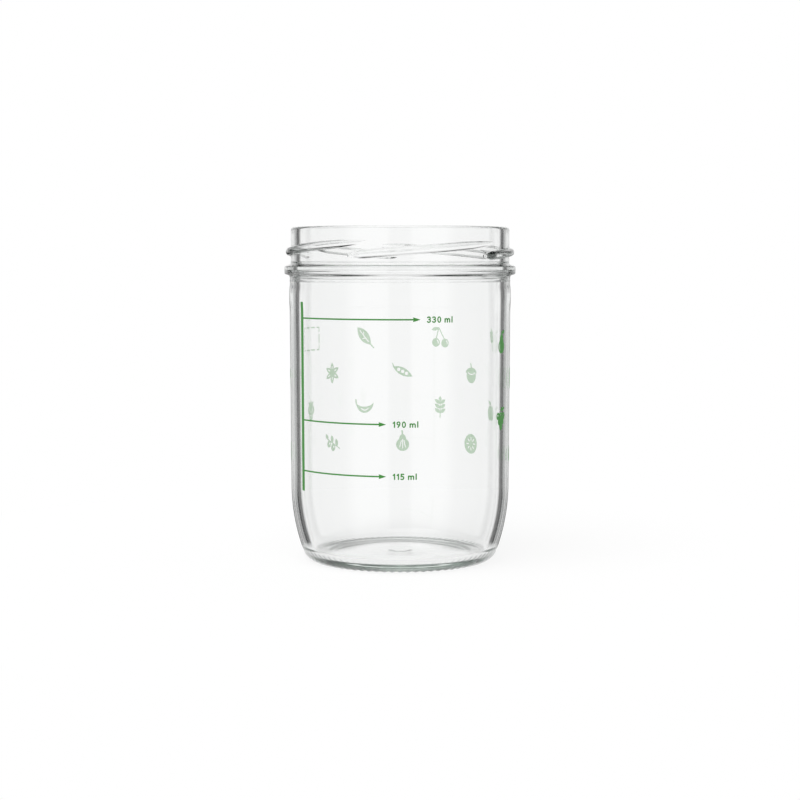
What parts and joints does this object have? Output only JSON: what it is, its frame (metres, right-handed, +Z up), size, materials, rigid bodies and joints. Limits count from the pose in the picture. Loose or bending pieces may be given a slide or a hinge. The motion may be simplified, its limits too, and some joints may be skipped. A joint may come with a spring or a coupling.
{
  "type": "graduated food jar",
  "caption": "Straight-sided clear glass food jar with a lug-threaded neck, bead and rounded heel, printed outside in green enamel with a fill scale and small food motifs.",
  "frame": {"origin": "centre of the ring the jar stands on, in the plane of the surface under it", "axes": "+Z up the jar's axis to the mouth, -Y out through the front where the printed scale is, +X to the right seen from the front"},
  "size_m": [0.0824, 0.0824, 0.119],
  "materials": {
    "clear_glass": "clear moulded soda-lime glass, fire-polished",
    "green_enamel": "screen-printed and fired enamel, satin"
  },
  "bodies": {
    "root": {"glass_jar": "clear_glass", "motif_apple": "green_enamel", "motif_banana": "green_enamel", "motif_basil_leaf": "green_enamel", "motif_bean": "green_enamel", "motif_cherries": "green_enamel", "motif_egg_half": "green_enamel", "motif_fig": "green_enamel", "motif_grapes": "green_enamel", "motif_hazelnut": "green_enamel", "motif_herb_sprig": "green_enamel", "motif_kiwi_slice": "green_enamel", "motif_lemon_slice": "green_enamel", "motif_mushroom": "green_enamel", "motif_olive_twig": "green_enamel", "motif_pea_pod": "green_enamel", "motif_pear": "green_enamel", "motif_star_anise": "green_enamel", "motif_strawberry": "green_enamel", "motif_wheat_ear": "green_enamel", "name_field_dash_1": "green_enamel", "name_field_dash_10": "green_enamel", "name_field_dash_2": "green_enamel", "name_field_dash_3": "green_enamel", "name_field_dash_4": "green_enamel", "name_field_dash_5": "green_enamel", "name_field_dash_6": "green_enamel", "name_field_dash_7": "green_enamel", "name_field_dash_8": "green_enamel", "name_field_dash_9": "green_enamel", "scale_arrow_low": "green_enamel", "scale_arrow_middle": "green_enamel", "scale_arrow_top": "green_enamel", "scale_bar": "green_enamel", "scale_label_low_1": "green_enamel", "scale_label_low_2": "green_enamel", "scale_label_low_3": "green_enamel", "scale_label_low_4": "green_enamel", "scale_label_low_5": "green_enamel", "scale_label_middle_1": "green_enamel", "scale_label_middle_2": "green_enamel", "scale_label_middle_3": "green_enamel", "scale_label_middle_4": "green_enamel", "scale_label_middle_5": "green_enamel", "scale_label_top_1": "green_enamel", "scale_label_top_2": "green_enamel", "scale_label_top_3": "green_enamel", "scale_label_top_4": "green_enamel", "scale_label_top_5": "green_enamel"}
  },
  "joints": []
}
